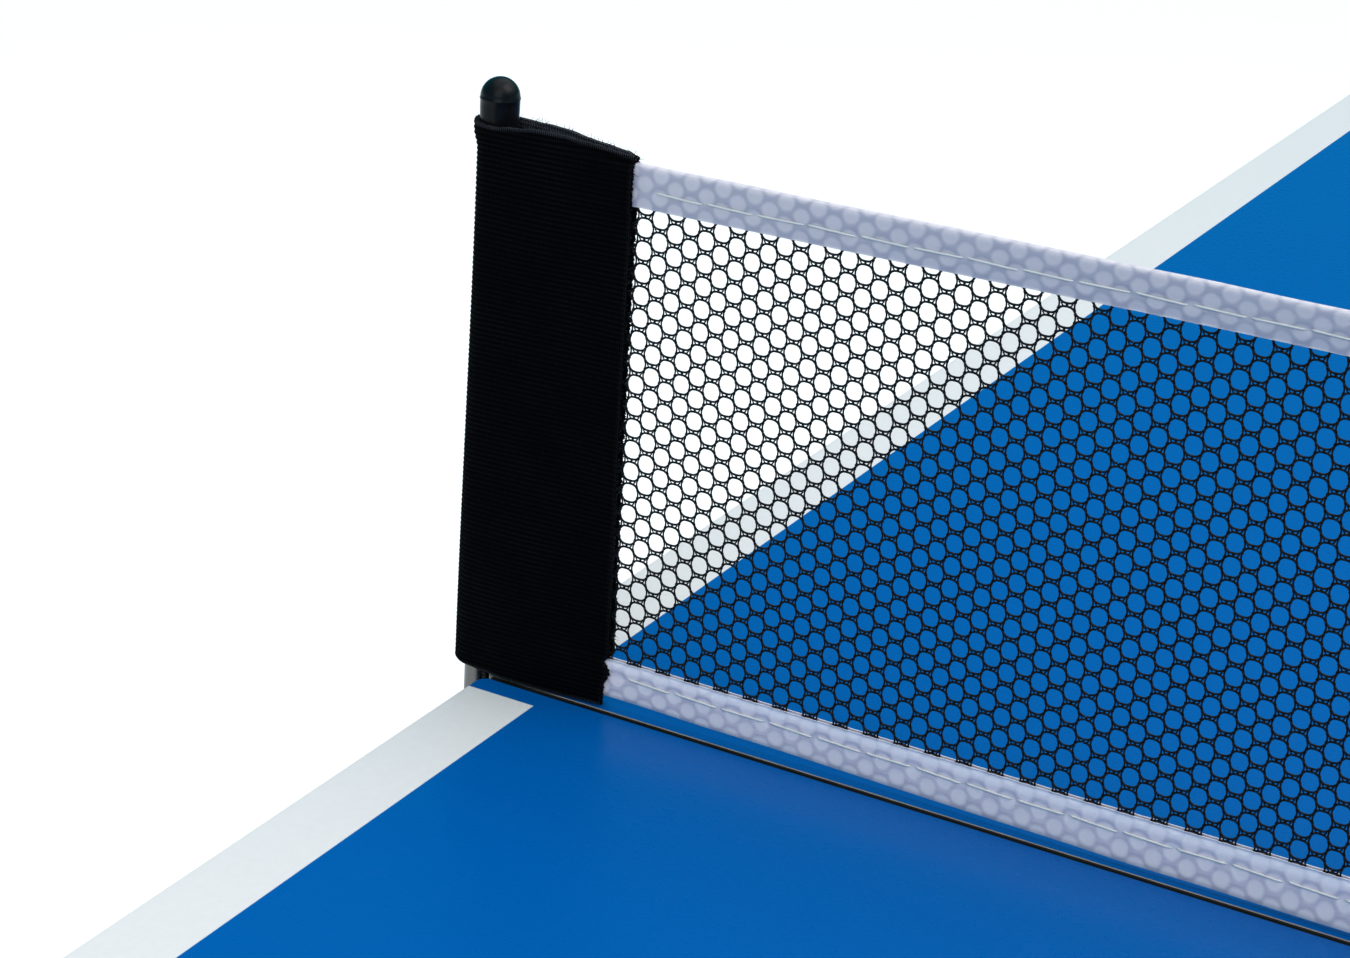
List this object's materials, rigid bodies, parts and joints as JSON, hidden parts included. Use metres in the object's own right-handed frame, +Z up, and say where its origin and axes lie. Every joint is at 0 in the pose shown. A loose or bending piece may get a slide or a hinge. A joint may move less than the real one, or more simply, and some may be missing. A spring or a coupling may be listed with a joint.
{
  "type": "table tennis table",
  "caption": "Mid-size table tennis table: free-standing halves on folding leg frames, meeting under a black mesh net that slim posts and fabric sleeves hold up.",
  "frame": {"origin": "on the floor, under the middle of the joint between the halves", "axes": "+X along the table towards the half that carries the net, +Y across the table towards the left net post, +Z up"},
  "size_m": [1.83, 0.9636, 0.9258],
  "materials": {
    "blue_laminate": "gloss",
    "board": "matte",
    "frame_steel": "satin",
    "leg_steel": "satin",
    "zinc": "satin",
    "black_plastic": "satin",
    "black_rubber": "matte",
    "chrome": "polished",
    "black_fabric": "matte",
    "net_cord": "matte",
    "white_tape": "satin",
    "vinyl": "satin",
    "edge_band": "satin"
  },
  "bodies": {
    "net_half": {"net_half_board": "board", "net_half_playing_surface": "blue_laminate", "net_half_joint_band": "edge_band", "net_half_outer_band": "edge_band", "net_half_side_rails": "frame_steel", "net_half_cross_rails": "frame_steel", "net_half_rail_end_caps": "black_plastic", "net_half_corner_plates": "zinc", "net_half_leg_brackets": "zinc", "net_half_pivot_bolts": "zinc", "net_half_stay_mounts": "zinc", "net_half_handle_lugs": "black_plastic", "net_half_dowel_bushes": "zinc", "net_post_sockets": "frame_steel", "socket_screws": "zinc"},
    "plain_half": {"plain_half_board": "board", "plain_half_playing_surface": "blue_laminate", "plain_half_joint_band": "edge_band", "plain_half_outer_band": "edge_band", "plain_half_side_rails": "frame_steel", "plain_half_cross_rails": "frame_steel", "plain_half_rail_end_caps": "black_plastic", "plain_half_corner_plates": "zinc", "plain_half_leg_brackets": "zinc", "plain_half_pivot_bolts": "zinc", "plain_half_stay_mounts": "zinc", "plain_half_handle_lugs": "black_plastic", "plain_half_dowels": "zinc"},
    "net_half_outer_leg_frame": {"net_half_outer_leg_tubes": "leg_steel", "net_half_outer_leg_crossbars": "leg_steel", "net_half_outer_leg_feet": "black_rubber"},
    "net_half_outer_upper_stay_pair": {"net_half_outer_upper_stays": "zinc"},
    "net_half_outer_lower_stay_pair": {"net_half_outer_lower_stays": "zinc"},
    "net_half_inner_leg_frame": {"net_half_inner_leg_tubes": "leg_steel", "net_half_inner_leg_crossbars": "leg_steel", "net_half_inner_leg_feet": "black_rubber"},
    "net_half_inner_upper_stay_pair": {"net_half_inner_upper_stays": "zinc"},
    "net_half_inner_lower_stay_pair": {"net_half_inner_lower_stays": "zinc"},
    "net_half_handle": {"net_half_carry_handle": "black_plastic"},
    "plain_half_outer_leg_frame": {"plain_half_outer_leg_tubes": "leg_steel", "plain_half_outer_leg_crossbars": "leg_steel", "plain_half_outer_leg_feet": "black_rubber"},
    "plain_half_outer_upper_stay_pair": {"plain_half_outer_upper_stays": "zinc"},
    "plain_half_outer_lower_stay_pair": {"plain_half_outer_lower_stays": "zinc"},
    "plain_half_inner_leg_frame": {"plain_half_inner_leg_tubes": "leg_steel", "plain_half_inner_leg_crossbars": "leg_steel", "plain_half_inner_leg_feet": "black_rubber"},
    "plain_half_inner_upper_stay_pair": {"plain_half_inner_upper_stays": "zinc"},
    "plain_half_inner_lower_stay_pair": {"plain_half_inner_lower_stays": "zinc"},
    "plain_half_handle": {"plain_half_carry_handle": "black_plastic"},
    "net_set": {"left_net_post": "chrome", "right_net_post": "chrome", "post_caps": "vinyl", "left_post_sleeve": "black_fabric", "right_post_sleeve": "black_fabric", "net_mesh": "net_cord", "net_top_tape": "white_tape", "net_bottom_tape": "white_tape"},
    "left_thumbscrew": {"left_post_thumbscrew": "black_plastic"},
    "right_thumbscrew": {"right_post_thumbscrew": "black_plastic"}
  },
  "joints": [
    {"name": "plain_half_pull", "type": "slide", "parent": "net_half", "child": "plain_half", "axis": [-1, 0, 0], "range_m": [0, 0.3]},
    {"name": "net_half_outer_leg_fold", "type": "hinge", "parent": "net_half", "child": "net_half_outer_leg_frame", "pos_m": [0.85, 0, 0.734], "axis": [0, 1, 0], "range_deg": [0, 90]},
    {"name": "net_half_outer_upper_stay_swing", "type": "hinge", "parent": "net_half", "child": "net_half_outer_upper_stay_pair", "pos_m": [0.55, 0, 0.734], "axis": [0, -1, 0], "range_deg": [0, 40]},
    {"name": "net_half_outer_lower_stay_swing", "type": "hinge", "parent": "net_half_outer_leg_frame", "child": "net_half_outer_lower_stay_pair", "pos_m": [0.85, 0, 0.484], "axis": [0, 1, 0], "range_deg": [0, 50.5]},
    {"name": "net_half_inner_leg_fold", "type": "hinge", "parent": "net_half", "child": "net_half_inner_leg_frame", "pos_m": [0.07, 0, 0.711], "axis": [0, -1, 0], "range_deg": [0, 90]},
    {"name": "net_half_inner_upper_stay_swing", "type": "hinge", "parent": "net_half", "child": "net_half_inner_upper_stay_pair", "pos_m": [0.37, 0, 0.711], "axis": [0, 1, 0], "range_deg": [0, 40]},
    {"name": "net_half_inner_lower_stay_swing", "type": "hinge", "parent": "net_half_inner_leg_frame", "child": "net_half_inner_lower_stay_pair", "pos_m": [0.07, 0, 0.461], "axis": [0, -1, 0], "range_deg": [0, 50.5]},
    {"name": "net_half_handle_swing", "type": "hinge", "parent": "net_half", "child": "net_half_handle", "pos_m": [0.902, 0, 0.734], "axis": [0, -1, 0], "range_deg": [0, 90]},
    {"name": "plain_half_outer_leg_fold", "type": "hinge", "parent": "plain_half", "child": "plain_half_outer_leg_frame", "pos_m": [-0.85, 0, 0.734], "axis": [0, -1, 0], "range_deg": [0, 90]},
    {"name": "plain_half_outer_upper_stay_swing", "type": "hinge", "parent": "plain_half", "child": "plain_half_outer_upper_stay_pair", "pos_m": [-0.55, 0, 0.734], "axis": [0, 1, 0], "range_deg": [0, 40]},
    {"name": "plain_half_outer_lower_stay_swing", "type": "hinge", "parent": "plain_half_outer_leg_frame", "child": "plain_half_outer_lower_stay_pair", "pos_m": [-0.85, 0, 0.484], "axis": [0, -1, 0], "range_deg": [0, 50.5]},
    {"name": "plain_half_inner_leg_fold", "type": "hinge", "parent": "plain_half", "child": "plain_half_inner_leg_frame", "pos_m": [-0.07, 0, 0.711], "axis": [0, 1, 0], "range_deg": [0, 90]},
    {"name": "plain_half_inner_upper_stay_swing", "type": "hinge", "parent": "plain_half", "child": "plain_half_inner_upper_stay_pair", "pos_m": [-0.37, 0, 0.711], "axis": [0, -1, 0], "range_deg": [0, 40]},
    {"name": "plain_half_inner_lower_stay_swing", "type": "hinge", "parent": "plain_half_inner_leg_frame", "child": "plain_half_inner_lower_stay_pair", "pos_m": [-0.07, 0, 0.461], "axis": [0, 1, 0], "range_deg": [0, 50.5]},
    {"name": "plain_half_handle_swing", "type": "hinge", "parent": "plain_half", "child": "plain_half_handle", "pos_m": [-0.902, 0, 0.734], "axis": [0, 1, 0], "range_deg": [0, 90]},
    {"name": "net_set_lift", "type": "slide", "parent": "net_half", "child": "net_set", "axis": [0, 0, 1], "range_m": [0, 0.1]},
    {"name": "left_thumbscrew_turn", "type": "hinge", "parent": "net_half", "child": "left_thumbscrew", "pos_m": [0.0063, 0.4628, 0.722], "axis": [0, 1, 0], "range_deg": [0, 360]},
    {"name": "right_thumbscrew_turn", "type": "hinge", "parent": "net_half", "child": "right_thumbscrew", "pos_m": [0.0063, -0.4628, 0.722], "axis": [0, -1, 0], "range_deg": [0, 360]}
  ],
  "couplings": [
    {"joint": "net_half_outer_upper_stay_swing", "follows": "net_half_outer_leg_fold", "ratio": 0.44228},
    {"joint": "net_half_outer_lower_stay_swing", "follows": "net_half_outer_leg_fold", "ratio": 0.55772},
    {"joint": "net_half_inner_upper_stay_swing", "follows": "net_half_inner_leg_fold", "ratio": 0.44228},
    {"joint": "net_half_inner_lower_stay_swing", "follows": "net_half_inner_leg_fold", "ratio": 0.55772},
    {"joint": "plain_half_outer_upper_stay_swing", "follows": "plain_half_outer_leg_fold", "ratio": 0.44228},
    {"joint": "plain_half_outer_lower_stay_swing", "follows": "plain_half_outer_leg_fold", "ratio": 0.55772},
    {"joint": "plain_half_inner_upper_stay_swing", "follows": "plain_half_inner_leg_fold", "ratio": 0.44228},
    {"joint": "plain_half_inner_lower_stay_swing", "follows": "plain_half_inner_leg_fold", "ratio": 0.55772}
  ]
}
